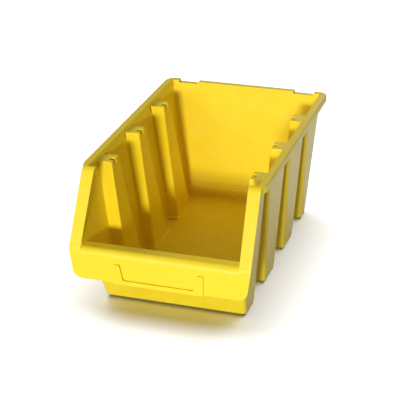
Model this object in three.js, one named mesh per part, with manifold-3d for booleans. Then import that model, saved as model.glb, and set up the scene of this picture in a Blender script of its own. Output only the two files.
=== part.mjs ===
// Open-front stackable storage bin, injection moulded in one piece of polypropylene.
// Millimetres, +Z up, +X to the bin's right seen from the front, front opening towards -Y.
// Origin: middle of the footprint, on the ground. Every moulded feature is its own solid.
import * as THREE from 'three';
import { mergeVertices } from 'three/addons/utils/BufferGeometryUtils.js';
import Module from 'manifold-3d';

const wasm = await Module();
wasm.setup();

// ---- overall size -------------------------------------------------------------
const WIDTH = 204; // over the rims
const LENGTH = 340; // front flange to hanging lip
const HEIGHT = 158; // ground to rim
const WALL = 2.2; // moulded wall thickness
const GAP = 0.1; // clearance between neighbouring solids
const PAST = 1; // how far a cutting or joining solid reaches past its neighbour
const FLOOR_GAP = 0.4; // clearance along the floor under the ribs' leaning faces

// ---- tub: four walls that lean outwards ---------------------------------------------
const BASE_Z = 3; // underside of the floor, above the stacking lugs
const FLOOR_TOP = BASE_Z + 2.4;
const BASE_HALF = 80; // half width over the side walls at the base
const TOP_HALF = 95; // half width over the side walls at rim height
const WALL_TOP = 146; // where the side walls end and the rims begin
const BACK_OUT = 333.5; // outer face of the back wall
const BACK_IN = BACK_OUT - WALL;

// ---- front: sloping wall, hanging flange, sill and inclined posts -------------------
const FRONT_BASE_Y = 54; // foot of the sloping front wall
const FRONT_TOP_Y = 17.6; // its top, under the sill
const SILL_Z = 85.2; // top of the sill
const SILL_DEPTH = 20;
const SILL_SKIRT = 3; // the sill's rear edge turns down on to the front wall
const SILL_ROUND = 7; // outer radius of the bend from the flange into the sill
const BEND_STEPS = 5;
const FLANGE_BOTTOM = 49.4;
const FLANGE_TOP = SILL_Z - WALL; // where the flange passes into the posts
const FLANGE_HALF = 99.2; // half width at the sill
const FLANGE_LOW_HALF = 95.2; // half width above the rounded lower corners
const FLANGE_RADIUS = 11;
const FLANGE_CORNER_LEAN = 1.5; // the lower corners follow the lean of the flange's ends
const POST_RUN = 42.4; // how far the posts lean back over their height
const POST_INNER_LOW = 86.6;
const POST_INNER_HIGH = 84;
const POST_TOP_HALF = 98; // outer edge of the posts at the rims

// ---- ribs: channels pressed inwards, three on each side -------------------------------
const RIB_COUNT = 3;
const RIB_PITCH = 86;
const RIB_FRONT_TOP = 75.8; // front face of the first rib at rim height
const RIB_FRONT_LEAN = 10; // how far that face leans back towards the base
const RIB_BACK_TOP = 96.2;
const RIB_BACK_LEAN = 38;
const RIB_INNER_TOP = 77; // distance of a rib's inner face from the middle plane
const RIB_INNER_BASE = 64;
const RIB_TOP = 153; // ledge that carries the next bin
const SOCKET_START = 6.2; // stacking socket, measured back from the rib's front face
const SOCKET_LENGTH = 7;
const SOCKET_WIDTH = 5.5;
const SOCKET_DEPTH = 5;
const FOOT_TOP = BASE_Z + 1.2; // the bays' floor, a step below the middle floor
const LUG_LENGTH = 6;
const LUG_INNER = 67;
const LUG_OUTER = 79.7;
const LUG_WALL = 1.2; // the lugs are hollow, open to the bay above

// ---- rims, back edge and hanging lip -----------------------------------------------------
const RIM_HALF = WIDTH / 2;
const RIM_INNER = 93.4;
const RIM_SKIRT = 8; // height of the turned-down outer edge
const RIM_EDGE = 1.8; // thickness of the turned-down edge
const RIM_CROWN = 2.4; // how far below the top its outer edge starts to turn in
const RIM_LEDGE = 3; // underside of the rim, below its top
const RIM_TAPER = 14; // over this length its outer edge curves in to the post
const TAPER_STEPS = 4;
const CORNER_START = 322; // where the side rims pass into the rounded corners
const CORNER_RADIUS = 12;
const LIP_HALF = 60.5; // half length of the raised hanging lip
const CORNER_INNER = 85; // inner end of the corner rims along the back
const LOW_EDGE = 155; // lowered back edge beside the hanging lip
const LIP_SKIRT = 14;
const LIP_EDGE = 2; // thickness of its turned-down edge
const LIP_BEVEL = 1;
const STEP_TOPS = [8.2, 18.2, 24.4]; // three narrow ledges up the foot of the back wall
const STEP_TREAD = 1.4; // how far each stands out from the one above
const BACK_STEP_Z = STEP_TOPS[2];
const BACK_STEP_Y = BACK_IN - STEP_TREAD * STEP_TOPS.length; // where the lowest one meets the floor
const HEEL = 5; // bevel along the bottom rear edge
const HEEL_RISE = 7.5;

// ---- label holder -------------------------------------------------------------------------
const LABEL_HALF = 49;
const LABEL_TOP = 71.5;
const LABEL_ARM = 7;
const LABEL_NICK = 1.5; // small chamfer at the top of each arm
const LABEL_CURVE = 4; // how far the arms' inner edges curve in towards the bottom bar
const LABEL_BASE = 4.6;
const LABEL_PROUD = 2.4; // how far the frame stands out; the flange face is set back by it
const CARD_HALF = 46; // half width of the slot for the label card
const CARD_SLOT = 0.8;
const CARD_BOTTOM = FLANGE_BOTTOM + 2.5;

const YELLOW = 0xf6cf12;

// ---- how the walls lean -------------------------------------------------------------------
const RISE = HEIGHT - BASE_Z;
const fraction = (z) => (z - BASE_Z) / RISE;
const wallOut = (z) => BASE_HALF + (TOP_HALF - BASE_HALF) * fraction(z);
const wallIn = (z) => wallOut(z) - WALL;
const ribInner = (z) => RIB_INNER_BASE + (RIB_INNER_TOP - RIB_INNER_BASE) * fraction(z);
const ribFront = (rib, z) => RIB_FRONT_TOP + RIB_PITCH * rib + RIB_FRONT_LEAN * (1 - fraction(z));
const ribBack = (rib, z) => RIB_BACK_TOP + RIB_PITCH * rib + RIB_BACK_LEAN * (1 - fraction(z));
const frontSlope = (FRONT_TOP_Y - FRONT_BASE_Y) / (FLANGE_TOP - BASE_Z);
const frontOut = (z) => FRONT_BASE_Y + frontSlope * (z - BASE_Z);
const frontIn = (z) => frontOut(z) + WALL * Math.hypot(1, frontSlope);
const postFace = (z) => LABEL_PROUD + (POST_RUN * (z - FLANGE_TOP)) / (HEIGHT - FLANGE_TOP);
const postSlope = Math.atan2(HEIGHT - FLANGE_TOP, POST_RUN);
const behindPost = (z) => postFace(z) + WALL / Math.sin(postSlope) + GAP;

// ---- small modelling helpers ------------------------------------------------------------------
const part = new THREE.Group();

const shapeOf = (points) => new THREE.Shape(points.map(([u, v]) => new THREE.Vector2(u, v)));

function extrude(shape, depth, steps = 1) {
  return new THREE.ExtrudeGeometry(shape, { depth, steps, bevelEnabled: false, curveSegments: 8 });
}

// A flat outline in (x, y), from height low to height high.
function upright(shape, low, high) {
  return extrude(shape, high - low).translate(0, 0, low);
}

// An outline in (y, z), from x = start to x = end.
function acrossX(points, start, end) {
  const basis = new THREE.Matrix4().makeBasis(
    new THREE.Vector3(0, 1, 0),
    new THREE.Vector3(0, 0, 1),
    new THREE.Vector3(1, 0, 0),
  );
  return extrude(shapeOf(points), end - start).applyMatrix4(basis).translate(start, 0, 0);
}

// An outline in (x, z), from y = start to y = end.
function alongY(shape, start, end, steps = 1) {
  const basis = new THREE.Matrix4().makeBasis(
    new THREE.Vector3(1, 0, 0),
    new THREE.Vector3(0, 0, 1),
    new THREE.Vector3(0, -1, 0),
  );
  return extrude(shape, end - start, steps).applyMatrix4(basis).translate(0, end, 0);
}

// Moves every corner of a geometry by a rule.
function remap(geometry, rule) {
  const position = geometry.getAttribute('position');
  for (let i = 0; i < position.count; i += 1) {
    const [x, y, z] = rule(position.getX(i), position.getY(i), position.getZ(i));
    position.setXYZ(i, x, y, z);
  }
  return geometry;
}

// A solid whose four sides lean: rectangle(z) gives its [x0, x1, y0, y1] at height z.
function leaningBlock(rectangle, low, high) {
  const unit = new THREE.BoxGeometry(1, 1, 1).translate(0.5, 0.5, 0.5);
  return remap(unit, (u, v, w) => {
    const z = low + (high - low) * w;
    const [x0, x1, y0, y1] = rectangle(z);
    return [x0 + (x1 - x0) * u, y0 + (y1 - y0) * v, z];
  });
}

// A plain block between two corners.
function slab(x0, x1, y0, y1, z0, z1) {
  return leaningBlock(() => [x0, x1, y0, y1], z0, z1);
}

function toManifold(geometry) {
  const bare = geometry.clone();
  bare.deleteAttribute('normal');
  bare.deleteAttribute('uv');
  const merged = mergeVertices(bare, 1e-4);
  const vertProperties = new Float32Array(merged.getAttribute('position').array);
  const triVerts = new Uint32Array(merged.getIndex().array);
  return new wasm.Manifold(new wasm.Mesh({ numProp: 3, vertProperties, triVerts }));
}

function fromManifold(solid) {
  const { vertProperties, triVerts } = solid.getMesh();
  const geometry = new THREE.BufferGeometry();
  geometry.setAttribute('position', new THREE.BufferAttribute(new Float32Array(vertProperties), 3));
  geometry.setIndex(new THREE.BufferAttribute(new Uint32Array(triVerts), 1));
  geometry.computeVertexNormals();
  return geometry;
}

// Turns a solid made for the bin's right side into its mirror image.
function mirrored(geometry) {
  const flipped = geometry.index ? geometry.toNonIndexed() : geometry.clone();
  const position = flipped.getAttribute('position');
  for (let i = 0; i < position.count; i += 3) {
    const corners = [0, 2, 1].map((k) => [-position.getX(i + k), position.getY(i + k), position.getZ(i + k)]);
    corners.forEach(([x, y, z], k) => position.setXYZ(i + k, x, y, z));
  }
  flipped.computeVertexNormals();
  return flipped;
}

// The part is modelled with its front at y = 0, then centred on the origin.
function add(name, geometry) {
  const material = new THREE.MeshStandardMaterial({ color: YELLOW, roughness: 0.45, metalness: 0 });
  const mesh = new THREE.Mesh(geometry, material);
  mesh.name = name;
  mesh.position.y = -LENGTH / 2;
  part.add(mesh);
}

function addPair(name, geometry) {
  add(`right_${name}`, geometry);
  add(`left_${name}`, mirrored(geometry));
}

// ---- floor and back -----------------------------------------------------------------------------
function baseFloor() {
  const halfWidth = ribInner(FLOOR_TOP) - FLOOR_GAP - GAP;
  const front = frontIn(BASE_Z) + GAP;
  return slab(-halfWidth, halfWidth, front, BACK_STEP_Y, BASE_Z, FLOOR_TOP);
}

// Widens a full-width strip so that its ends follow the leaning side walls.
function fitBetweenWalls(geometry, halfWidth) {
  return remap(geometry, (x, y, z) => [(x * (wallIn(z) - GAP)) / halfWidth, y, z]);
}

function backStep() {
  const profile = [
    [BACK_STEP_Y + GAP, BASE_Z],
    [BACK_OUT - HEEL, BASE_Z],
    [BACK_OUT, BASE_Z + HEEL_RISE],
    [BACK_OUT, BACK_STEP_Z],
    [BACK_IN, BACK_STEP_Z],
  ];
  for (let step = STEP_TOPS.length - 1; step >= 0; step -= 1) {
    const face = BACK_IN - STEP_TREAD * (STEP_TOPS.length - step);
    profile.push([Math.max(face, BACK_STEP_Y + GAP), STEP_TOPS[step]]);
    profile.push([Math.max(face, BACK_STEP_Y + GAP), step > 0 ? STEP_TOPS[step - 1] : FLOOR_TOP]);
  }
  return fitBetweenWalls(acrossX(profile, -1, 1), 1);
}

function backWall() {
  return leaningBlock((z) => [-wallIn(z) + GAP, wallIn(z) - GAP, BACK_IN, BACK_OUT], BACK_STEP_Z, WALL_TOP);
}

// ---- front ----------------------------------------------------------------------------------------
function frontWall() {
  const rectangle = (z) => [-wallIn(z) + GAP, wallIn(z) - GAP, frontOut(z), frontIn(z)];
  return leaningBlock(rectangle, BASE_Z, FLANGE_TOP - SILL_SKIRT);
}

// A hanging plate: low under the sill's bend in the middle, up to the posts at both ends.
function frontFlange() {
  const corner = FLANGE_LOW_HALF - FLANGE_CORNER_LEAN;
  const straight = FLANGE_LOW_HALF - FLANGE_RADIUS;
  const notch = POST_INNER_LOW - 2 * GAP;
  const underSill = SILL_Z - SILL_ROUND - GAP;
  const shape = new THREE.Shape();
  shape.moveTo(-FLANGE_HALF, FLANGE_TOP - GAP);
  shape.lineTo(-FLANGE_LOW_HALF, FLANGE_BOTTOM + FLANGE_RADIUS);
  shape.quadraticCurveTo(-corner, FLANGE_BOTTOM, -straight, FLANGE_BOTTOM);
  shape.lineTo(straight, FLANGE_BOTTOM);
  shape.quadraticCurveTo(corner, FLANGE_BOTTOM, FLANGE_LOW_HALF, FLANGE_BOTTOM + FLANGE_RADIUS);
  shape.lineTo(FLANGE_HALF, FLANGE_TOP - GAP);
  shape.lineTo(notch, FLANGE_TOP - GAP);
  shape.lineTo(notch, underSill);
  shape.lineTo(-notch, underSill);
  shape.lineTo(-notch, FLANGE_TOP - GAP);
  return alongY(shape, LABEL_PROUD, LABEL_PROUD + WALL);
}

// The flange bends back into the sill, whose rear edge turns down on to the front wall.
function frontSill() {
  const centreY = LABEL_PROUD + SILL_ROUND;
  const centreZ = SILL_Z - SILL_ROUND;
  const under = FLANGE_TOP - SILL_SKIRT;
  const outside = [];
  const inside = [];
  for (let step = 0; step <= BEND_STEPS; step += 1) {
    const turn = (Math.PI / 2) * (step / BEND_STEPS);
    const [back, up] = [-Math.cos(turn), Math.sin(turn)];
    outside.push([centreY + back * SILL_ROUND, centreZ + up * SILL_ROUND]);
    inside.unshift([centreY + back * (SILL_ROUND - WALL), centreZ + up * (SILL_ROUND - WALL)]);
  }
  const rear = [
    [SILL_DEPTH - WALL / 2, SILL_Z],
    [SILL_DEPTH, SILL_Z - WALL / 2],
    [SILL_DEPTH, under],
    [SILL_DEPTH - WALL, under],
    [SILL_DEPTH - WALL, FLANGE_TOP],
  ];
  const halfWidth = wallIn(under) - GAP;
  return acrossX([...outside, ...rear, ...inside], -halfWidth, halfWidth);
}

function labelHolder() {
  const inner = LABEL_HALF - LABEL_ARM;
  const shelf = FLANGE_BOTTOM + LABEL_BASE;
  const bend = inner - LABEL_CURVE;
  const shoulder = LABEL_TOP - LABEL_NICK;
  const shape = new THREE.Shape();
  shape.moveTo(-LABEL_HALF, FLANGE_BOTTOM);
  shape.lineTo(LABEL_HALF, FLANGE_BOTTOM);
  shape.lineTo(LABEL_HALF, LABEL_TOP);
  shape.lineTo(inner + LABEL_NICK, LABEL_TOP);
  shape.lineTo(inner, shoulder);
  shape.quadraticCurveTo(inner - LABEL_NICK, shelf, bend, shelf);
  shape.lineTo(-bend, shelf);
  shape.quadraticCurveTo(-inner + LABEL_NICK, shelf, -inner, shoulder);
  shape.lineTo(-inner - LABEL_NICK, LABEL_TOP);
  shape.lineTo(-LABEL_HALF, LABEL_TOP);
  // The card drops in from above, behind the frame.
  const card = new THREE.BoxGeometry(2 * CARD_HALF, 2 * CARD_SLOT, LABEL_TOP);
  card.translate(0, LABEL_PROUD, CARD_BOTTOM + LABEL_TOP / 2);
  return fromManifold(toManifold(alongY(shape, 0, LABEL_PROUD)).subtract(toManifold(card)));
}

// A post is a flat strip in the inclined plane of the opening.
function post() {
  const slope = Math.hypot(HEIGHT - FLANGE_TOP, POST_RUN);
  const spare = 2 * WALL; // extra length at both ends, trimmed off level
  const shape = new THREE.Shape();
  shape.moveTo(POST_INNER_LOW, -spare);
  shape.lineTo(FLANGE_HALF, -spare);
  shape.lineTo(POST_TOP_HALF, slope + spare);
  shape.lineTo(POST_INNER_HIGH, slope + spare);
  const strip = extrude(shape, WALL).translate(0, 0, -WALL);
  strip.rotateX(postSlope).translate(0, LABEL_PROUD, FLANGE_TOP);
  const level = slab(0, WIDTH, 0, LENGTH, FLANGE_TOP, HEIGHT);
  return fromManifold(toManifold(strip).intersect(toManifold(level)));
}

// ---- sides ------------------------------------------------------------------------------------------
// A panel is an outline in (y, z), one wall thick, that leans with the side of the tub.
function leaningPanel(outline) {
  return remap(acrossX(outline, 0, WALL), (x, y, z) => [x + wallIn(z), y, z]);
}

function frontPanel() {
  const sillBack = FLANGE_TOP - SILL_SKIRT;
  const top = WALL_TOP - GAP;
  return leaningPanel([
    [frontOut(BASE_Z), BASE_Z],
    [ribFront(0, BASE_Z) - GAP, BASE_Z],
    [ribFront(0, top) - GAP, top],
    [behindPost(top), top],
    [behindPost(FLANGE_TOP), FLANGE_TOP],
    [behindPost(FLANGE_TOP), sillBack],
    [frontOut(sillBack), sillBack],
  ]);
}

function middlePanel(rib) {
  const top = WALL_TOP - GAP;
  return leaningPanel([
    [ribBack(rib, BASE_Z) + GAP, BASE_Z],
    [ribFront(rib + 1, BASE_Z) - GAP, BASE_Z],
    [ribFront(rib + 1, top) - GAP, top],
    [ribBack(rib, top) + GAP, top],
  ]);
}

function rearPanel() {
  const top = WALL_TOP - GAP;
  const last = RIB_COUNT - 1;
  return leaningPanel([
    [ribBack(last, BASE_Z) + GAP, BASE_Z],
    [BACK_OUT - HEEL, BASE_Z],
    [BACK_OUT, BASE_Z + HEEL_RISE],
    [BACK_OUT, top],
    [ribBack(last, top) + GAP, top],
  ]);
}

// Inner face of the side rim, which carries the side wall's inner face on to the top.
function rimFlare(z) {
  const low = wallIn(WALL_TOP);
  return low + ((RIM_INNER - low) * (z - WALL_TOP)) / (HEIGHT - WALL_TOP);
}

// A rib is a hollow channel, open to the outside, capped by a ledge with a stacking socket.
function rib(index) {
  const front = (z) => ribFront(index, z);
  const back = (z) => ribBack(index, z);
  const shaft = leaningBlock((z) => [ribInner(z), wallOut(z), front(z), back(z)], BASE_Z, WALL_TOP);
  const head = leaningBlock(
    (z) => [ribInner(z), rimFlare(z) - 2 * GAP, front(z), back(z)], WALL_TOP - PAST, RIB_TOP,
  );
  const channel = leaningBlock(
    (z) => [ribInner(z) + WALL, WIDTH, front(z) + WALL, back(z) - WALL], 0, RIB_TOP - WALL,
  );
  const socketStart = front(RIB_TOP) + SOCKET_START;
  const socketFloor = RIB_TOP - SOCKET_DEPTH;
  const socketEnd = socketStart + SOCKET_LENGTH;
  const edge = ribInner(RIB_TOP);
  const side = edge + SOCKET_WIDTH;
  const socketWall = slab(
    edge - WALL, side + WALL, socketStart - WALL, socketEnd + WALL, socketFloor - WALL, RIB_TOP + WALL,
  );
  const socket = slab(edge - 2 * WALL, side, socketStart, socketEnd, socketFloor, RIB_TOP + WALL);
  const hollow = toManifold(channel).subtract(toManifold(socketWall));
  const solid = toManifold(shaft).add(toManifold(head)).subtract(hollow).subtract(toManifold(socket));
  return fromManifold(solid);
}

// The floor of a bay, out to the side wall, with a hollow stacking lug under its rear end.
function foot(front, back) {
  const inner = ribInner(FLOOR_TOP) - FLOOR_GAP;
  const outer = wallIn(BASE_Z) - GAP;
  const lugFront = back - LUG_LENGTH;
  const plate = slab(inner, outer, front, back, BASE_Z, FOOT_TOP);
  const lug = slab(LUG_INNER, LUG_OUTER, lugFront, back, 0, BASE_Z);
  const pocket = slab(
    LUG_INNER + LUG_WALL, Math.min(LUG_OUTER, outer) - LUG_WALL, lugFront + LUG_WALL, back - LUG_WALL,
    LUG_WALL, FOOT_TOP + PAST,
  );
  return fromManifold(toManifold(plate).add(toManifold(lug)).subtract(toManifold(pocket)));
}

// ---- rims ---------------------------------------------------------------------------------------------
function sideRim() {
  const root = wallIn(WALL_TOP);
  const profile = shapeOf([
    [root, WALL_TOP],
    [root + WALL, WALL_TOP],
    [rimFlare(HEIGHT - RIM_LEDGE - WALL) + WALL, HEIGHT - RIM_LEDGE - WALL],
    [RIM_HALF - RIM_EDGE, HEIGHT - RIM_LEDGE],
    [RIM_HALF - RIM_EDGE, HEIGHT - RIM_SKIRT],
    [RIM_HALF, HEIGHT - RIM_SKIRT],
    [RIM_HALF, HEIGHT - RIM_CROWN],
    [RIM_HALF - RIM_CROWN / 3, HEIGHT - RIM_CROWN / 3],
    [RIM_HALF - RIM_CROWN, HEIGHT],
    [RIM_INNER, HEIGHT],
  ]);
  // The front end is cut to the slope of the post, and its outer edge curves in to meet it.
  const steps = TAPER_STEPS + 1;
  const outerHalf = rimFlare(HEIGHT - RIM_LEDGE) + WALL;
  return remap(alongY(profile, 0, steps, steps), (x, y, z) => {
    const step = Math.round(y);
    if (step === steps) return [x, CORNER_START - GAP, z];
    const left = 1 - step / TAPER_STEPS;
    const inset = x > outerHalf ? (RIM_HALF - POST_TOP_HALF) * (1 - Math.sqrt(1 - left * left)) : 0;
    return [x - inset, behindPost(z) + RIM_TAPER * (1 - left), z];
  });
}

// The hook section along the back: wall, top and turned-down edge.
function backRimProfile(top, skirt) {
  return [
    [BACK_IN, WALL_TOP],
    [BACK_OUT, WALL_TOP],
    [BACK_OUT, top - WALL],
    [LENGTH - LIP_EDGE, top - WALL],
    [LENGTH - LIP_EDGE, top - skirt],
    [LENGTH, top - skirt],
    [LENGTH, top - LIP_BEVEL],
    [LENGTH - LIP_BEVEL, top],
    [BACK_IN, top],
  ];
}

function cornerRim() {
  const centreX = RIM_HALF - CORNER_RADIUS;
  const centreY = LENGTH - CORNER_RADIUS;
  const rounded = (inset) => {
    const shape = new THREE.Shape();
    shape.moveTo(CORNER_INNER, CORNER_START);
    shape.lineTo(RIM_HALF - inset, CORNER_START);
    shape.lineTo(RIM_HALF - inset, centreY);
    shape.absarc(centreX, centreY, CORNER_RADIUS - inset, 0, Math.PI / 2, false);
    shape.lineTo(CORNER_INNER, LENGTH - inset);
    return shape;
  };
  const plate = toManifold(upright(rounded(0), HEIGHT - WALL, HEIGHT));
  const outer = toManifold(upright(rounded(0), HEIGHT - RIM_SKIRT, HEIGHT - WALL + PAST));
  const inner = toManifold(upright(rounded(RIM_EDGE), HEIGHT - RIM_SKIRT - PAST, HEIGHT - WALL));
  const skirt = outer.subtract(inner);
  const block = leaningBlock(
    (z) => [CORNER_INNER - PAST, rimFlare(z), CORNER_START - PAST, BACK_IN], WALL_TOP - PAST, HEIGHT + PAST,
  );
  const wall = leaningBlock(
    (z) => [CORNER_INNER, rimFlare(z) + WALL, CORNER_START, BACK_OUT], WALL_TOP, HEIGHT - WALL,
  );
  const mould = toManifold(wall).add(plate).add(skirt).subtract(toManifold(block));
  return fromManifold(mould);
}

// ---- assembly -------------------------------------------------------------------------------------------
add('base_floor', baseFloor());
add('back_wall', backWall());
add('back_step', backStep());
add('front_wall', frontWall());
add('front_flange', frontFlange());
add('front_sill', frontSill());
add('label_holder', labelHolder());
add('hanging_lip', acrossX(backRimProfile(HEIGHT, LIP_SKIRT), -LIP_HALF, LIP_HALF));
addPair('post', post());
addPair('side_rim', sideRim());
addPair('back_edge', acrossX(backRimProfile(LOW_EDGE, RIM_SKIRT), LIP_HALF + GAP, CORNER_INNER - GAP));
addPair('corner_rim', cornerRim());
addPair('panel_1', frontPanel());
addPair('panel_2', middlePanel(0));
addPair('panel_3', middlePanel(1));
addPair('panel_4', rearPanel());
addPair('foot_1', foot(frontIn(BASE_Z) + GAP, ribFront(0, BASE_Z) - 2 * GAP));
for (let index = 0; index < RIB_COUNT; index += 1) {
  addPair(`rib_${index + 1}`, rib(index));
  const bayBack = index + 1 < RIB_COUNT ? ribFront(index + 1, BASE_Z) - 2 * GAP : BACK_STEP_Y;
  addPair(`foot_${index + 2}`, foot(ribBack(index, BASE_Z) + GAP, bayBack));
}

export default part;
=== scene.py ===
"""Open-front stackable storage bin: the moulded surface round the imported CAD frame.

Every CAD node is one moulded feature of the bin, and one piece here stands for each. Pieces are
worked out in millimetres in the CAD part's own terms: x from the middle plane, y back from the
front face, z up from the ground. They go into the shared frame, in metres, as they are made.
"""

import math

import bmesh
import bpy
from mathutils import Matrix, Vector


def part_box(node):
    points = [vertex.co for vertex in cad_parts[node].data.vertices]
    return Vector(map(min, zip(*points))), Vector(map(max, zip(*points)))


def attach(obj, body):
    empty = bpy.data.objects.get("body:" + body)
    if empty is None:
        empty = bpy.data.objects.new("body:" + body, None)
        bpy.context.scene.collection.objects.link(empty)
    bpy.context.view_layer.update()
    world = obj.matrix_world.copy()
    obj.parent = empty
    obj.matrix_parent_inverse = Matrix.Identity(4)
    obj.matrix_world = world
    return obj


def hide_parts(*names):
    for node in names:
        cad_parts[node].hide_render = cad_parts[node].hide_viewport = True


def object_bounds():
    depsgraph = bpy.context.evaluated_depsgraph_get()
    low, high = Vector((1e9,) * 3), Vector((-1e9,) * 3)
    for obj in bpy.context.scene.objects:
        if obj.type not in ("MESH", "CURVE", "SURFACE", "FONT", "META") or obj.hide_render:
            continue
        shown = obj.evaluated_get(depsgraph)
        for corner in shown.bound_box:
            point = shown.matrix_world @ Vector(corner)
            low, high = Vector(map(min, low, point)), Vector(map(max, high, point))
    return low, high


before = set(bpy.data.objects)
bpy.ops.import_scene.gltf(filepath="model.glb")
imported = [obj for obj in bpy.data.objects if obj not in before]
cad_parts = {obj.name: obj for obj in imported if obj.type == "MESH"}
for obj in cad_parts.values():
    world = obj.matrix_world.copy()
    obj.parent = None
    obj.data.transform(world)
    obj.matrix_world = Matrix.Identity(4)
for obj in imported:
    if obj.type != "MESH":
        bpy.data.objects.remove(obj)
CAD_LOW, CAD_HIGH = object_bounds()

MM = 0.001

# ---- size, from the frame ----------------------------------------------------------------------
LENGTH = (CAD_HIGH.y - CAD_LOW.y) / MM
RIM_HALF = (CAD_HIGH.x - CAD_LOW.x) / MM / 2
HEIGHT = (CAD_HIGH.z - CAD_LOW.z) / MM
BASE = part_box("base_floor")[0].z / MM
FLOOR_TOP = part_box("base_floor")[1].z / MM
WALL_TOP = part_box("back_wall")[1].z / MM
FLANGE_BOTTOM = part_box("front_flange")[0].z / MM
FLANGE_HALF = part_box("front_flange")[1].x / MM
SILL_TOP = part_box("front_sill")[1].z / MM
SILL_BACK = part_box("front_sill")[1].y / MM + LENGTH / 2
RIB_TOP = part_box("right_rib_1")[1].z / MM
LIP_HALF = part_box("hanging_lip")[1].x / MM
LABEL_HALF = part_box("label_holder")[1].x / MM
LABEL_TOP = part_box("label_holder")[1].z / MM
LOW_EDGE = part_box("right_back_edge")[1].z / MM
STEP_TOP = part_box("back_step")[1].z / MM
RIB_COUNT = len([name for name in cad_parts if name.startswith("right_rib_")])

# ---- how the moulding is shaped, as in the CAD part --------------------------------------------
WALL = 2.2
BASE_HALF = 80  # half width over the side walls at the base
TOP_HALF = 95  # and at rim height
BACK_OUT = LENGTH - 6.5
BACK_IN = BACK_OUT - WALL
FRONT_BASE_Y = 54  # foot of the sloping front wall
FRONT_TOP_Y = 17.6
FRONT_SLANT = 1.12  # the front wall's level thickness over its true one
FRONT_FACE = 2.4  # the flange face lies this far behind the label frame
FLANGE_TOP = SILL_TOP - WALL
FLANGE_LOW_HALF = FLANGE_HALF - 4
FLANGE_RADIUS = 11
POST_RUN = 42.4
POST_INNER_LOW = 86.6
POST_INNER_HIGH = 84
POST_TOP_HALF = 98  # outer edge of the posts at the rims
RIM_TAPER = 14  # over this length the rims' outer edge curves in to the posts
TOP_BEND = 9  # radius of the bend between post and rim
POST_BEND = 9  # radius of the bend between flange and post
SILL_ROUND = 7  # and of the one between flange and sill
SILL_UNDER = FLANGE_TOP - 3  # the sill's rear edge turns down to here
RIB_PITCH = 86
RIB_FRONT = 75.8
RIB_FRONT_LEAN = 10
RIB_BACK = 96.2
RIB_BACK_LEAN = 38
RIB_INNER_TOP = 77
RIB_INNER_BASE = 64
SOCKET_START = 6.2
SOCKET_LENGTH = 7
SOCKET_WIDTH = 5.5
SOCKET_DEPTH = 5
LUG_LENGTH = 6
LUG_INNER = 67
LUG_OUTER = 79.7
LUG_WALL = 1.2  # the lugs are hollow, open to the bay above
FOOT_TOP = 4.2  # the bays' floor, a step below the middle floor
RIM_INNER = 93.4
RIM_SKIRT = 8  # height of the rims' turned-down edge
RIM_EDGE = 1.8  # and its thickness
LIP_SKIRT = 14  # the same for the hanging lip
LIP_EDGE = 2
CORNER_START = 322
CORNER_END = 85  # where the corner rims stop along the back
CORNER_RADIUS = 12
STEP_TOPS = (8.2, 18.2, 24.4)  # three narrow ledges up the foot of the back wall
STEP_TREAD = 1.4
STEP_FOOT = BACK_IN - len(STEP_TOPS) * STEP_TREAD  # where the lowest one meets the floor
LABEL_ARM = 7
LABEL_BASE = 4.6
CARD_SLOT = 1.4  # how far the slot behind the label frame is cut into it

# ---- rounding ----------------------------------------------------------------------------------
BOTTOM_ROUND = 2  # outer bottom edges
FLOOR_ROUND = 2.5  # inside, between the floor and what stands on it
COLUMN_ROUND = 3.2  # outer vertical edges of the columns between the grooves
GROOVE_ROUND = 2
FRONT_ROUND = 4.5  # vertical edges of the front wall
REAR_ROUND = 9  # vertical rear corners, low down
REAR_TOP_ROUND = 1.8  # and at the rim
HEEL_ROUND = 12  # bottom rear edge
HEEL_DEPTH = 0.6  # how far that edge falls forward, as a share of a true quarter circle
PLATE_ROUND = 0.7  # edges of the flange and the posts
LABEL_ROUND = 0.5
ARC_STEPS = 5

# ---- where the pieces divide -------------------------------------------------------------------
SEAM = 5  # the ribs' pieces take in this much of the wall on each side
FRONT_SEAM = FRONT_ROUND + BOTTOM_ROUND + 1.5  # the front corners belong to the front panels
REAR_SEAM = REAR_ROUND + 4  # and the rear corners to the rear panels
MID_LEVELS = [40, 80, 115]  # heights of the rings between the rounded foot and the top
PAST = 1  # how far a cutting solid reaches past the surface it cuts


def fraction(z):
    return (z - BASE) / (HEIGHT - BASE)


def wall_out(z):
    return BASE_HALF + (TOP_HALF - BASE_HALF) * fraction(z)


def wall_in(z):
    return wall_out(z) - WALL


def rib_inner(z):
    return RIB_INNER_BASE + (RIB_INNER_TOP - RIB_INNER_BASE) * fraction(z)


def rib_front(index, z):
    return RIB_FRONT + RIB_PITCH * index + RIB_FRONT_LEAN * (1 - fraction(z))


def rib_back(index, z):
    return RIB_BACK + RIB_PITCH * index + RIB_BACK_LEAN * (1 - fraction(z))


def front_out(z):
    return FRONT_BASE_Y + (FRONT_TOP_Y - FRONT_BASE_Y) * (z - BASE) / (FLANGE_TOP - BASE)


POST_SLOPE = math.atan2(HEIGHT - FLANGE_TOP, POST_RUN)


def post_face(z):
    return FRONT_FACE + POST_RUN * (z - FLANGE_TOP) / (HEIGHT - FLANGE_TOP)


def behind_post(z):
    return post_face(z) + WALL / math.sin(POST_SLOPE)


def rim_flare(z):
    """Inner face of the side rim, which carries the side wall on to the top."""
    low = wall_in(WALL_TOP)
    return low + (RIM_INNER - low) * (z - WALL_TOP) / (HEIGHT - WALL_TOP)


def fall(distance, radius):
    """How far a rounded edge falls back, at a distance from where the sharp edge would be."""
    reach = max(0.0, radius - distance)
    return radius - math.sqrt(max(0.0, radius * radius - reach * reach))


def floor_flare(z):
    """How far the inside of a wall stands in at its rounded foot."""
    return fall(z - FLOOR_TOP, FLOOR_ROUND) if z > FLOOR_TOP else FLOOR_ROUND


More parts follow.
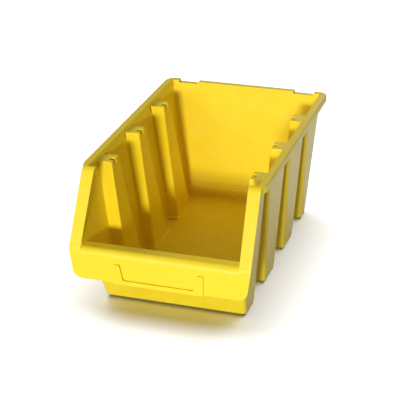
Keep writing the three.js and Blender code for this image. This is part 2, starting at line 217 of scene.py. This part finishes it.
def round_levels(start, radius, upward=True, steps=4):
    """Heights that follow a quarter circle evenly, from the edge at start to the end of the arc."""
    sign = 1 if upward else -1
    turns = [math.pi / 2 * step / steps for step in range(steps + 1)]
    return [start + sign * radius * (1 - math.cos(turn)) for turn in turns]


# ---- mesh helpers ------------------------------------------------------------------------------
def soften(corners, closed=True, steps=ARC_STEPS):
    """Turns (u, v, radius) corners into points, with an arc at each corner that has a radius."""
    points = []
    count = len(corners)
    for i, (u, v, radius) in enumerate(corners):
        at_end = not closed and i in (0, count - 1)
        if radius == 0 or at_end:
            points.append((u, v))
            continue
        here = Vector((u, v))
        before = (Vector(corners[i - 1][:2]) - here).normalized()
        after = (Vector(corners[(i + 1) % count][:2]) - here).normalized()
        angle = before.angle(after)
        reach = radius / math.tan(angle / 2)
        centre = here + (before + after).normalized() * (radius / math.sin(angle / 2))
        start = here + before * reach - centre
        end = here + after * reach - centre
        sweep = math.pi - angle
        for step in range(steps + 1):
            share = step / steps
            arm = (
                start * math.sin((1 - share) * sweep) + end * math.sin(share * sweep)
            ) / math.sin(sweep)
            points.append(tuple(centre + arm))
    return points


def to_frame(point):
    x, y, z = point
    return Vector((x * MM, (y - LENGTH / 2) * MM, z * MM))


def mesh_from(verts, faces):
    """A clean closed mesh, in the frame, from millimetre points."""
    bm = bmesh.new()
    made = [bm.verts.new(to_frame(v)) for v in verts]
    for face in faces:
        bm.faces.new([made[i] for i in face])
    bmesh.ops.remove_doubles(bm, verts=bm.verts, dist=0.00001)
    bmesh.ops.dissolve_degenerate(bm, edges=bm.edges, dist=0.000005)
    return finish_bmesh(bm)


def finish_bmesh(bm):
    bmesh.ops.recalc_face_normals(bm, faces=bm.faces)
    big = [f for f in bm.faces if len(f.verts) > 4]
    bmesh.ops.triangulate(bm, faces=big, ngon_method="EAR_CLIP")
    mesh = bpy.data.meshes.new("moulding")
    bm.to_mesh(mesh)
    bm.free()
    return mesh


def loft(rings):
    """A solid skinned over closed rings of points, with flat ends."""
    size = len(rings[0])
    verts = [point for ring in rings for point in ring]
    faces = [tuple(range(size)), tuple(range(len(verts) - size, len(verts)))]
    for row in range(len(rings) - 1):
        for i in range(size):
            j = (i + 1) % size
            low, high = row * size, (row + 1) * size
            faces.append((low + i, low + j, high + j, high + i))
    return mesh_from(verts, faces)


def combine(base, tool, operation):
    """Joins or cuts two closed meshes."""
    holder = bpy.data.objects.new("holder", base)
    cutter = bpy.data.objects.new("cutter", tool)
    for item in (holder, cutter):
        bpy.context.scene.collection.objects.link(item)
    step = holder.modifiers.new("step", "BOOLEAN")
    step.operation = operation
    step.solver = "EXACT"
    step.object = cutter
    graph = bpy.context.evaluated_depsgraph_get()
    result = bpy.data.meshes.new_from_object(holder.evaluated_get(graph))
    for item in (holder, cutter):
        bpy.data.objects.remove(item)
    return result


def box_mesh(x0, x1, y0, y1, z0, z1):
    ring = [(x0, y0), (x1, y0), (x1, y1), (x0, y1)]
    return loft([[(x, y, z) for x, y in ring] for z in (z0, z1)])


def mirrored(mesh):
    copy = mesh.copy()
    copy.transform(Matrix.Scale(-1, 4, (1, 0, 0)))
    copy.flip_normals()
    return copy


def soft_edges(mesh, radius, chosen, segments=2):
    """Rounds the sharp edges of a mesh that pass the test, given their middle in millimetres."""
    bm = bmesh.new()
    bm.from_mesh(mesh)
    edges = []
    for edge in bm.edges:
        if len(edge.link_faces) != 2 or edge.calc_face_angle() < math.radians(30):
            continue
        middle = (edge.verts[0].co + edge.verts[1].co) / 2 / MM
        if chosen(middle.x, middle.y + LENGTH / 2, middle.z):
            edges.append(edge)
    bmesh.ops.bevel(
        bm, geom=edges, offset=radius * MM, segments=segments, profile=0.5, affect="EDGES",
        clamp_overlap=True,
    )
    return finish_bmesh(bm)


# ---- material ----------------------------------------------------------------------------------
def moulded_plastic():
    """Satin yellow polypropylene: fine moulded grain, faint flow and wear along the edges."""
    material = bpy.data.materials.new("moulded_yellow")
    material.use_nodes = True
    nodes, links = material.node_tree.nodes, material.node_tree.links
    shader = nodes["Principled BSDF"]
    place = nodes.new("ShaderNodeTexCoord")

    def noise(scale, detail, roughness=0.5):
        node = nodes.new("ShaderNodeTexNoise")
        node.inputs["Scale"].default_value = scale
        node.inputs["Detail"].default_value = detail
        node.inputs["Roughness"].default_value = roughness
        links.new(place.outputs["Object"], node.inputs["Vector"])
        return node.outputs["Fac"]

    def ramp(source, low, high, low_colour, high_colour):
        node = nodes.new("ShaderNodeValToRGB")
        node.color_ramp.elements[0].position = low
        node.color_ramp.elements[1].position = high
        node.color_ramp.elements[0].color = (*low_colour, 1)
        node.color_ramp.elements[1].color = (*high_colour, 1)
        links.new(source, node.inputs["Fac"])
        return node.outputs["Color"]

    flow = ramp(noise(9, 3), 0.35, 0.65, PLASTIC_DEEP, PLASTIC)
    edges = nodes.new("ShaderNodeNewGeometry").outputs["Pointiness"]
    wear = ramp(edges, 0.53, 0.6, (0, 0, 0), (1, 1, 1))
    patchy = ramp(noise(60, 4, 0.6), 0.45, 0.7, (0, 0, 0), (0.5, 0.5, 0.5))
    worn = nodes.new("ShaderNodeMath")
    worn.operation = "MULTIPLY"
    links.new(wear, worn.inputs[0])
    links.new(patchy, worn.inputs[1])
    paint = nodes.new("ShaderNodeMix")
    paint.data_type = "RGBA"
    links.new(worn.outputs[0], paint.inputs["Factor"])
    links.new(flow, paint.inputs["A"])
    paint.inputs["B"].default_value = (*PLASTIC_WORN, 1)
    links.new(paint.outputs["Result"], shader.inputs["Base Color"])

    rough = nodes.new("ShaderNodeMapRange")
    rough.inputs["To Min"].default_value = 0.38
    rough.inputs["To Max"].default_value = 0.5
    links.new(noise(35, 3), rough.inputs["Value"])
    links.new(rough.outputs["Result"], shader.inputs["Roughness"])

    grain = nodes.new("ShaderNodeBump")
    grain.inputs["Strength"].default_value = 0.12
    grain.inputs["Distance"].default_value = 0.0002
    links.new(noise(1600, 2), grain.inputs["Height"])
    ripple = nodes.new("ShaderNodeBump")
    ripple.inputs["Strength"].default_value = 0.1
    ripple.inputs["Distance"].default_value = 0.002
    links.new(noise(14, 1), ripple.inputs["Height"])
    links.new(ripple.outputs["Normal"], grain.inputs["Normal"])
    links.new(grain.outputs["Normal"], shader.inputs["Normal"])
    shader.inputs["IOR"].default_value = 1.49
    shader.inputs["Specular IOR Level"].default_value = 0.5
    return material


PLASTIC = (0.90, 0.67, 0.013)
PLASTIC_DEEP = (0.88, 0.645, 0.01)
PLASTIC_WORN = (0.93, 0.73, 0.05)
YELLOW = moulded_plastic()
pieces = []


def piece(node, mesh):
    """Makes a mesh the visible piece for a CAD node."""
    mesh.materials.clear()
    mesh.materials.append(YELLOW)
    mesh.shade_smooth()
    mesh.set_sharp_from_angle(angle=math.radians(34))
    made = bpy.data.objects.new(node + "_moulding", mesh)
    bpy.context.scene.collection.objects.link(made)
    shading = made.modifiers.new("flat_faces_stay_flat", "WEIGHTED_NORMAL")
    shading.keep_sharp = True
    shading.weight = 80
    pieces.append(made)
    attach(made, "root")
    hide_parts(node)
    return made


def pair(node, mesh):
    other = mirrored(mesh)
    piece("right_" + node, mesh)
    piece("left_" + node, other)


# ---- ribs --------------------------------------------------------------------------------------
def rib(index):
    """A channel pressed into the side, closed on top by a ledge with a stacking socket."""
    top_round = 1.1

    def section(z):
        foot = floor_flare(z)
        head = fall(RIB_TOP - z, top_round)
        wall = wall_in(z) if z <= WALL_TOP else rim_flare(z)
        skin = wall_out(z) - fall(z - BASE, BOTTOM_ROUND) if z <= WALL_TOP else rim_flare(z) + 0.8
        front = rib_front(index, z) - foot + head
        back = rib_back(index, z) + foot - head
        inner = rib_inner(z) - foot + head
        low = 1 - fraction(z)
        return soften([
            (skin, rib_front(index, z) - SEAM, 0),
            (wall - foot, rib_front(index, z) - SEAM, 0),
            (wall - foot, front, 1 + 1.4 * low),
            (inner, front, 1 + 1.6 * low),
            (inner, back, 1 + 1.6 * low),
            (wall - foot, back, 1 + 1.4 * low),
            (wall - foot, rib_back(index, z) + SEAM, 0),
            (skin, rib_back(index, z) + SEAM, 0),
        ])

    def channel(z):
        spread = fall(z - BASE, BOTTOM_ROUND) if z > BASE else BOTTOM_ROUND
        front = rib_front(index, z) + WALL - spread
        back = rib_back(index, z) - WALL + spread
        inner = rib_inner(z) + WALL - spread
        skin = wall_out(min(z, WALL_TOP)) - spread
        outside = RIM_HALF + 5
        lip = COLUMN_ROUND
        return soften([
            (outside, front - lip, 0),
            (skin, front - lip, 0),
            (skin - lip * 0.29, front - lip * 0.29, 3),
            (skin - lip, front, 0),
            (inner, front, GROOVE_ROUND),
            (inner, back, GROOVE_ROUND),
            (skin - lip, back, 0),
            (skin - lip * 0.29, back + lip * 0.29, 3),
            (skin, back + lip, 0),
            (outside, back + lip, 0),
        ])

    bottom = round_levels(BASE, BOTTOM_ROUND)
    foot = round_levels(FLOOR_TOP, FLOOR_ROUND)
    top = round_levels(RIB_TOP, top_round, upward=False)[::-1]
    heights = sorted(set(bottom + foot + MID_LEVELS + [WALL_TOP, WALL_TOP + 0.02] + top))
    solid = loft([[(x, y, z) for x, y in section(z)] for z in heights])
    heights = [-PAST] + bottom + MID_LEVELS + [WALL_TOP, RIB_TOP - WALL]
    hollow = loft([[(x, y, z) for x, y in channel(z)] for z in heights])
    start = rib_front(index, RIB_TOP) + SOCKET_START
    edge = rib_inner(RIB_TOP)
    far = start + SOCKET_LENGTH
    floor = RIB_TOP - SOCKET_DEPTH
    side = edge + SOCKET_WIDTH
    walls = box_mesh(
        edge - 3 * PAST, side + WALL, start - WALL, far + WALL, floor - WALL, RIB_TOP + PAST
    )
    socket = box_mesh(edge - 5 * PAST, side, start, far, floor, RIB_TOP + 5 * PAST)
    hollow = combine(hollow, walls, "DIFFERENCE")
    shell = combine(solid, hollow, "DIFFERENCE")
    return combine(shell, socket, "DIFFERENCE")


# ---- walls -------------------------------------------------------------------------------------
def wall_levels(low, high):
    marks = round_levels(BASE, BOTTOM_ROUND) + round_levels(FLOOR_TOP, FLOOR_ROUND) + MID_LEVELS
    return sorted(set([z for z in marks if low < z < high] + [low, high]))


def middle_panel(index):
    rings = []
    for z in wall_levels(BASE, WALL_TOP):
        out = wall_out(z) - fall(z - BASE, BOTTOM_ROUND)
        inside = wall_in(z) - floor_flare(z)
        start, end = rib_back(index, z) + SEAM, rib_front(index + 1, z) - SEAM
        rings.append([(out, start, z), (out, end, z), (inside, end, z), (inside, start, z)])
    return loft(rings)


def front_panel():
    """The side wall in front of the first rib, with the front corner below the sill."""

    def low_ring(z):
        under = fall(z - BASE, BOTTOM_ROUND)
        out = wall_out(z) - under
        inside = wall_in(z) - floor_flare(z)
        front = front_out(z) + under
        within = front_out(z) + WALL * FRONT_SLANT + floor_flare(z)
        end = rib_front(0, z) - SEAM
        edge = wall_out(z) - FRONT_SEAM
        return [(x, y, z) for x, y in soften([
            (edge, front, 0), (out, front, FRONT_ROUND), (out, end, 0),
            (inside, end, 0), (inside, within, 2.4), (edge, within, 0),
        ])]

    def high_ring(z):
        start = behind_post(max(z, FLANGE_TOP))
        end = rib_front(0, z) - SEAM
        middle = (wall_out(z) + wall_in(z)) / 2
        return [(x, y, z) for x, y in soften([
            (middle, start, 0), (wall_out(z), start, 0.3), (wall_out(z), end, 0),
            (wall_in(z), end, 0), (wall_in(z), start, 0.3), (middle, start, 0),
        ])]

    rings = [low_ring(z) for z in wall_levels(BASE, SILL_UNDER)]
    rings += [high_ring(z) for z in (SILL_UNDER, FLANGE_TOP, 110, WALL_TOP)]
    return loft(rings)


def rear_round(z):
    """Radius of the inner rear corner, small at the rim and larger lower down."""
    return REAR_TOP_ROUND + (REAR_ROUND - REAR_TOP_ROUND) * (1 - fraction(z)) ** 0.7


def heel(z):
    """How far the back falls forward at its rounded bottom edge."""
    return HEEL_DEPTH * fall(z - BASE, HEEL_ROUND)


def rear_panel():
    last = RIB_COUNT - 1
    rings = []
    marks = wall_levels(BASE, WALL_TOP) + round_levels(BASE, HEEL_ROUND, steps=6)
    for z in sorted(set(marks + [25, 60, 100, 130])):
        out = wall_out(z) - fall(z - BASE, BOTTOM_ROUND)
        inside = wall_in(z) - floor_flare(z)
        back = BACK_OUT - heel(z)
        within = BACK_IN - heel(z) - 0.5 * floor_flare(z)
        start = rib_back(last, z) + SEAM
        edge = wall_out(z) - REAR_SEAM
        ring = soften([
            (out, start, 0), (out, back, rear_round(z) + 2), (edge, back, 0),
            (edge, within, 0), (inside, within, rear_round(z)), (inside, start, 0),
        ])
        rings.append([(x, y, z) for x, y in ring])
    return loft(rings)


def back_wall():
    rings = []
    for z in (STEP_TOP, 60, 100, WALL_TOP):
        edge = wall_out(z) - REAR_SEAM
        ring = [(-edge, BACK_IN), (edge, BACK_IN), (edge, BACK_OUT), (-edge, BACK_OUT)]
        rings.append([(x, y, z) for x, y in ring])
    return loft(rings)


def front_wall():
    rings = []
    for z in wall_levels(BASE, SILL_UNDER):
        edge = wall_out(z) - FRONT_SEAM
        front = front_out(z) + fall(z - BASE, BOTTOM_ROUND)
        within = front_out(z) + WALL * FRONT_SLANT + floor_flare(z)
        rings.append([(-edge, front, z), (edge, front, z), (edge, within, z), (-edge, within, z)])
    return loft(rings)


def back_step():
    """The foot of the back wall: three narrow ledges, each with a softened edge."""
    corners = [(STEP_FOOT - 1, BASE + 0.1, 0)]
    corners += [(BACK_OUT - heel(z), z, 0) for z in round_levels(BASE, HEEL_ROUND, steps=6)]
    corners += [(BACK_OUT, STEP_TOP, 0), (BACK_IN, STEP_TOP, 0)]
    for step in reversed(range(len(STEP_TOPS))):
        face = BACK_IN - STEP_TREAD * (len(STEP_TOPS) - step)
        below = STEP_TOPS[step - 1] if step else FLOOR_TOP
        corners.append((face, STEP_TOPS[step], 0.7))
        corners.append((face - 0.1, below + 0.1, 0.3))
    corners.append((STEP_FOOT - 1, FLOOR_TOP, 0))
    profile = soften(corners, steps=3)

    def half(y, z):
        outside = y > BACK_IN + 0.01 or z < FLOOR_TOP - 1
        return wall_out(z) - (REAR_SEAM if outside else WALL + 1)

    return loft([[(side * half(y, z), y, z) for y, z in profile] for side in (-1, 1)])


# ---- floor -------------------------------------------------------------------------------------
BAY_EDGE = RIB_INNER_BASE - 1.2  # where the middle floor passes into the bays


def base_floor():
    half = BAY_EDGE + 0.3
    return box_mesh(-half, half, front_out(BASE) + 2, STEP_FOOT, BASE + 0.05, FLOOR_TOP)


def foot(front, back):
    """The floor of a bay, a step below the middle floor, with the hollow stacking lug under it."""
    outer = wall_in(BASE) - 0.5
    plate = box_mesh(BAY_EDGE, outer, front, back, BASE + 0.08, FOOT_TOP)
    lug_outer = LUG_OUTER - 0.4
    centre = ((LUG_INNER + lug_outer) / 2, back - LUG_LENGTH / 2)
    outline = soften([
        (LUG_INNER, back - LUG_LENGTH, 0.8), (lug_outer, back - LUG_LENGTH, 0.8),
        (lug_outer, back, 0.8), (LUG_INNER, back, 0.8),
    ])

    def ring(z, inset):
        half = ((lug_outer - LUG_INNER) / 2, LUG_LENGTH / 2)
        shares = [1 - inset / size for size in half]
        return [
            (centre[0] + (x - centre[0]) * shares[0], centre[1] + (y - centre[1]) * shares[1], z)
            for x, y in outline
        ]

    lug = loft([ring(0, 0.5), ring(0.2, 0.2), ring(0.6, 0), ring(BASE + 0.5, 0)])
    pocket = loft([ring(LUG_WALL, LUG_WALL + 0.3), ring(FOOT_TOP + PAST, LUG_WALL)])
    return combine(combine(plate, lug, "UNION"), pocket, "DIFFERENCE")


# ---- front frame -------------------------------------------------------------------------------
def flat_plate(outline, front, back):
    return loft([[(x, y, z) for x, z in outline] for y in (front, back)])


def front_flange():
    """Hanging plate: up to the sill's bend in the middle, and to the posts' bends at its ends."""
    top = FLANGE_TOP - POST_BEND * math.tan((math.pi / 2 - POST_SLOPE) / 2)
    low = FLANGE_BOTTOM
    widening = (FLANGE_HALF - FLANGE_LOW_HALF) / (FLANGE_TOP - low)
    half = [
        (POST_INNER_LOW, SILL_TOP - SILL_ROUND, 0),
        (POST_INNER_LOW, top, 0),
        (FLANGE_LOW_HALF + widening * (top - low), top, 0),
        (FLANGE_LOW_HALF - 0.4, low, FLANGE_RADIUS),
    ]
    outline = soften(half + [(-x, z, r) for x, z, r in reversed(half)], steps=8)
    mesh = flat_plate(outline, FRONT_FACE, FRONT_FACE + WALL)

    def free(x, y, z):
        """Every edge but the ones that meet the sill and the posts."""
        under_sill = z < SILL_TOP - SILL_ROUND - 1
        return z < top - 0.5 and (under_sill or abs(x) > POST_INNER_LOW + 1)

    return soft_edges(mesh, PLATE_ROUND, free, 3)


def post():
    """A strip that bends back from the flange, leans with the opening and bends on into the rim.

    It is made flat, in (x, depth, s) with s the way along it, and then bent.
    """
    turn = math.pi / 2 - POST_SLOPE
    arc = POST_BEND * turn
    lead = POST_BEND * math.tan(turn / 2)
    slope = math.hypot(HEIGHT - FLANGE_TOP, POST_RUN)
    top_arc = TOP_BEND * POST_SLOPE
    straight = slope - lead - TOP_BEND * math.tan(POST_SLOPE / 2)
    total = arc + straight + top_arc
    low_half = FLANGE_HALF - (FLANGE_HALF - FLANGE_LOW_HALF) * lead / (FLANGE_TOP - FLANGE_BOTTOM)
    outline = [
        (POST_INNER_LOW, 0), (low_half, 0), (FLANGE_HALF, arc), (POST_TOP_HALF, arc + straight),
        (POST_TOP_HALF, total), (POST_INNER_HIGH, total),
    ]
    mesh = flat_plate(outline, 0, WALL)
    mesh = soft_edges(mesh, PLATE_ROUND, lambda x, y, s: 0.2 < s < total - 0.1, 3)
    bm = bmesh.new()
    bm.from_mesh(mesh)
    cuts = [arc * share / 8 for share in range(1, 9)]
    cuts += [arc + straight + top_arc * share / 10 for share in range(10)]
    for s in cuts:
        geometry = bm.verts[:] + bm.edges[:] + bm.faces[:]
        bmesh.ops.bisect_plane(bm, geom=geometry, plane_co=(0, 0, s * MM), plane_no=(0, 0, 1))
    for vert in bm.verts:
        depth = vert.co.y / MM + LENGTH / 2
        s = vert.co.z / MM
        # The first bend, then the straight run, then the bend at the top.
        angle = min(s, arc) / POST_BEND
        y = FRONT_FACE + POST_BEND - POST_BEND * math.cos(angle)
        z = FLANGE_TOP - lead + POST_BEND * math.sin(angle)
        run = min(max(0, s - arc), straight)
        y += run * math.sin(turn)
        z += run * math.cos(turn)
        rest = max(0, s - arc - straight) / TOP_BEND
        y += TOP_BEND * (math.cos(turn) - math.cos(turn + rest))
        z += TOP_BEND * (math.sin(turn + rest) - math.sin(turn))
        lean = angle + rest
        x = vert.co.x / MM
        vert.co = to_frame((x, y + depth * math.cos(lean), z - depth * math.sin(lean)))
    return finish_bmesh(bm)


def front_sill():
    """The flange bends back into the sill, whose rear edge turns down on to the front wall."""
    bend = SILL_TOP - SILL_ROUND
    profile = soften([
        (FRONT_FACE, bend, 0),
        (FRONT_FACE + WALL, bend, 0),
        (FRONT_FACE + WALL, FLANGE_TOP, SILL_ROUND - WALL - 0.1),
        (SILL_BACK - WALL, FLANGE_TOP, 0.8),
        (SILL_BACK - WALL, SILL_UNDER, 0),
        (SILL_BACK, SILL_UNDER, 0),
        (SILL_BACK, SILL_TOP, 1.3),
        (FRONT_FACE, SILL_TOP, SILL_ROUND - 0.1),
    ], steps=8)
    return loft([[(x, y, z) for y, z in profile] for x in (-POST_INNER_LOW, POST_INNER_LOW)])


def label_holder():
    """A U-shaped frame on the flange, open behind so that a card drops in from above."""
    inner = LABEL_HALF - LABEL_ARM
    low = FLANGE_BOTTOM
    shelf = low + LABEL_BASE
    right = [
        (LABEL_HALF, low, 1), (LABEL_HALF, LABEL_TOP, 0.8), (inner + 0.6, LABEL_TOP, 1.2),
        (inner - 1.2, (LABEL_TOP + shelf) / 2, 8), (inner - 3, shelf, 3),
    ]
    outline = soften(right + [(-x, z, r) for x, z, r in reversed(right)], steps=6)
    mesh = flat_plate(outline, 0, FRONT_FACE)
    mesh = soft_edges(mesh, LABEL_ROUND, lambda x, y, z: y < LABEL_ROUND, 2)
    half = LABEL_HALF - 3
    slot = FRONT_FACE - CARD_SLOT
    card = box_mesh(-half, half, slot, FRONT_FACE + PAST, low + 2.5, LABEL_TOP + PAST)
    return combine(mesh, card, "DIFFERENCE")


# ---- rims --------------------------------------------------------------------------------------
def rim_profile():
    """Section of the side rim, in (x, z)."""
    root = wall_in(WALL_TOP)
    return soften([
        (root, WALL_TOP, 0),
        (root + WALL, WALL_TOP, 0),
        (rim_flare(HEIGHT - 5) + WALL, HEIGHT - 5, 1.2),
        (RIM_HALF - RIM_EDGE, HEIGHT - 3, 0.8),
        (RIM_HALF - RIM_EDGE, HEIGHT - RIM_SKIRT, 0.4),
        (RIM_HALF, HEIGHT - RIM_SKIRT, 0.6),
        (RIM_HALF, HEIGHT, 1.5),
        (RIM_INNER, HEIGHT, 0.7),
        (rim_flare(HEIGHT - 4), HEIGHT - 4, 0),
    ], steps=4)


def side_rim():
    """Its front end follows the back of the post, and its outer edge curves in to meet it."""
    profile = rim_profile()
    start = post_face(HEIGHT) + TOP_BEND * math.tan(POST_SLOPE / 2)

    def back_of_post(z):
        inner = TOP_BEND - WALL
        rise = z - (HEIGHT - TOP_BEND)
        if rise < inner * math.cos(POST_SLOPE):
            return behind_post(z)
        return start - math.sqrt(inner ** 2 - min(inner, rise) ** 2)

    outer = rim_flare(HEIGHT - 3) + WALL
    rings = []
    steps = 10
    for step in range(steps + 1):
        along = RIM_TAPER * (step / steps) ** 1.5
        left = 1 - along / RIM_TAPER
        inset = (RIM_HALF - POST_TOP_HALF) * (1 - math.sqrt(1 - left * left))
        rings.append([
            (x - inset * (x > outer), start + along if step else back_of_post(z), z)
            for x, z in profile
        ])
    rings.append([(x, CORNER_START, z) for x, z in profile])
    return loft(rings)


def corner_rim():
    """The side rim carried round the rounded rear corner and on along the back."""
    centre_x, centre_y = RIM_HALF - CORNER_RADIUS, LENGTH - CORNER_RADIUS
    side = [(x - centre_x, z) for x, z in rim_profile()]
    root = BACK_IN - centre_y
    back = soften([
        (root, WALL_TOP, 0),
        (root + WALL, WALL_TOP, 0),
        (root + WALL, HEIGHT - 3, 1.2),
        (CORNER_RADIUS - RIM_EDGE, HEIGHT - 2.6, 0.8),
        (CORNER_RADIUS - RIM_EDGE, HEIGHT - RIM_SKIRT, 0.4),
        (CORNER_RADIUS, HEIGHT - RIM_SKIRT, 0.6),
        (CORNER_RADIUS, HEIGHT, 1.5),
        (root, HEIGHT, 0.9),
        (root, HEIGHT - 4, 0),
    ], steps=4)
    rings = [[(centre_x + r, CORNER_START, z) for r, z in side]]
    steps = 10
    for step in range(steps + 1):
        share = step / steps
        turn = math.pi / 2 * share
        mix = share * share * (3 - 2 * share)
        ring = []
        for (r0, z0), (r1, z1) in zip(side, back):
            r, z = r0 + (r1 - r0) * mix, z0 + (z1 - z0) * mix
            ring.append((centre_x + r * math.cos(turn), centre_y + r * math.sin(turn), z))
        rings.append(ring)
    # The free end along the back rounds off over its last few millimetres.
    for x, sink in ((CORNER_END + 1.2, 0), (CORNER_END + 0.35, 0.35), (CORNER_END, 1.2)):
        rings.append([(x, centre_y + r, z - sink * (z > HEIGHT - 1)) for r, z in back])
    return loft(rings)


def back_rim(top, skirt, start, end, free_start, free_end):
    """The hook section along the back: wall, top and turned-down edge.

    A free end has the depth to which its top rounds off, and an end that meets another piece has 0.
    """
    profile = soften([
        (BACK_IN, WALL_TOP, 0),
        (BACK_OUT, WALL_TOP, 0),
        (BACK_OUT, top - WALL, 0.8),
        (LENGTH - LIP_EDGE, top - WALL, 0.6),
        (LENGTH - LIP_EDGE, top - skirt, 0.4),
        (LENGTH, top - skirt, 0.8),
        (LENGTH, top, 1.8),
        (BACK_IN, top, 0.8),
    ], steps=4)
    places = [(start, free_start)]
    if free_start:
        places += [(start + 0.25, 0.3), (start + 0.9, 0)]
    if free_end:
        places += [(end - 0.9, 0), (end - 0.25, 0.3)]
    places.append((end, free_end))
    rings = []
    for x, sink in places:
        rings.append([(x, y, z - sink * (z > top - 0.6)) for y, z in profile])
    return loft(rings)


# ---- assembly ----------------------------------------------------------------------------------
piece("base_floor", base_floor())
piece("back_wall", back_wall())
piece("back_step", back_step())
piece("front_wall", front_wall())
piece("front_flange", front_flange())
piece("front_sill", front_sill())
piece("label_holder", label_holder())
piece("hanging_lip", back_rim(HEIGHT, LIP_SKIRT, -LIP_HALF, LIP_HALF, 0.9, 0.9))
pair("post", post())
pair("side_rim", side_rim())
pair("back_edge", back_rim(LOW_EDGE, RIM_SKIRT, LIP_HALF, CORNER_END, 0, 0))
pair("corner_rim", corner_rim())
pair("panel_1", front_panel())
pair("panel_2", middle_panel(0))
pair("panel_3", middle_panel(1))
pair("panel_4", rear_panel())
pair("foot_1", foot(front_out(BASE) + WALL, rib_front(0, BASE) + 0.5))
for number in range(RIB_COUNT):
    pair(f"rib_{number + 1}", rib(number))
    bay_end = rib_front(number + 1, BASE) + 0.5 if number + 1 < RIB_COUNT else STEP_FOOT
    pair(f"foot_{number + 2}", foot(rib_back(number, BASE) - 0.5, bay_end))


# ---- studio ------------------------------------------------------------------------------------
def studio_floor():
    reach = 6
    corners = [(-reach, -reach, 0), (reach, -reach, 0), (reach, reach, 0), (-reach, reach, 0)]
    mesh = bpy.data.meshes.new("studio_floor")
    mesh.from_pydata(corners, [], [(0, 1, 2, 3)])
    material = bpy.data.materials.new("studio_paper")
    material.use_nodes = True
    shader = material.node_tree.nodes["Principled BSDF"]
    shader.inputs["Base Color"].default_value = (0.9, 0.9, 0.9, 1)
    shader.inputs["Roughness"].default_value = 0.9
    mesh.materials.append(material)
    made = bpy.data.objects.new("studio_floor", mesh)
    bpy.context.scene.collection.objects.link(made)
    made.visible_diffuse = False  # the paper throws no light back on to the bin
    return made


def studio_sky(levels):
    """Soft surroundings in bands of height: levels are (sine of elevation, strength)."""
    world = bpy.data.worlds.new("studio")
    bpy.context.scene.world = world
    world.use_nodes = True
    nodes, links = world.node_tree.nodes, world.node_tree.links
    place = nodes.new("ShaderNodeTexCoord")
    split = nodes.new("ShaderNodeSeparateXYZ")
    height = nodes.new("ShaderNodeMapRange")
    height.inputs["From Min"].default_value = -1
    bands = nodes.new("ShaderNodeValToRGB")
    stops = bands.color_ramp.elements
    for number, (sine, strength) in enumerate(levels):
        stop = stops[number] if number < len(stops) else stops.new(0)
        stop.position = (sine + 1) / 2
        stop.color = (strength, strength, strength, 1)
    links.new(place.outputs["Generated"], split.inputs[0])
    links.new(split.outputs["Z"], height.inputs["Value"])
    links.new(height.outputs["Result"], bands.inputs["Fac"])
    links.new(bands.outputs["Color"], nodes["Background"].inputs["Color"])
    nodes["Background"].inputs["Strength"].default_value = 1


def lamp(name, azimuth, elevation, distance, size, power, lit, target=(0, 0, 0.08)):
    """A soft panel that looks at the bin and lights only some objects.

    Azimuth 0 is straight in front, and positive is to the right. Its size is (width, height).
    """
    a, e = math.radians(azimuth), math.radians(elevation)
    away = Vector((math.sin(a) * math.cos(e), -math.cos(a) * math.cos(e), math.sin(e)))
    data = bpy.data.lights.new(name, "AREA")
    data.shape = "RECTANGLE"
    data.size, data.size_y = size
    data.energy = power
    made = bpy.data.objects.new(name, data)
    made.location = Vector(target) + away * distance
    made.rotation_mode = "QUATERNION"
    made.rotation_quaternion = away.to_track_quat("Z", "Y")
    bpy.context.scene.collection.objects.link(made)
    receivers = bpy.data.collections.new(name + "_receivers")
    for thing in lit:
        receivers.objects.link(thing)
    made.light_linking.receiver_collection = receivers
    return made


def camera():
    data = bpy.data.cameras.new("camera")
    data.sensor_width = 36
    data.lens = 118.9
    made = bpy.data.objects.new("camera", data)
    azimuth, elevation, roll = math.radians(17.76), math.radians(24.84), math.radians(-0.54)
    level = math.cos(elevation)
    back = Vector((math.sin(azimuth) * level, -math.cos(azimuth) * level, math.sin(elevation)))
    made.rotation_mode = "QUATERNION"
    turn = back.to_track_quat("Z", "Y")
    made.location = Vector((0.4105, -1.3052, 0.7105))
    made.rotation_quaternion = turn @ Matrix.Rotation(roll, 3, "Z").to_quaternion()
    bpy.context.scene.collection.objects.link(made)
    bpy.context.scene.camera = made


paper = studio_floor()
studio_sky([(-0.06, 0.1), (0.0, 0.2), (0.3, 0.25), (0.6, 0.22)])
lamp("key", 6, 10, 4, (0.6, 0.4), 122, pieces)
lamp("fill", -16, 12, 4, (1.4, 0.6), 30, pieces)
lamp("back", 245, 35, 4, (1.5, 1), 60, pieces)
lamp("behind", 180, 8, 4, (1.6, 0.6), 25, pieces)
lamp("paper_light", 0, 89, 3, (4, 4), 210, [paper])
camera()
bpy.context.scene.view_settings.view_transform = "Standard"
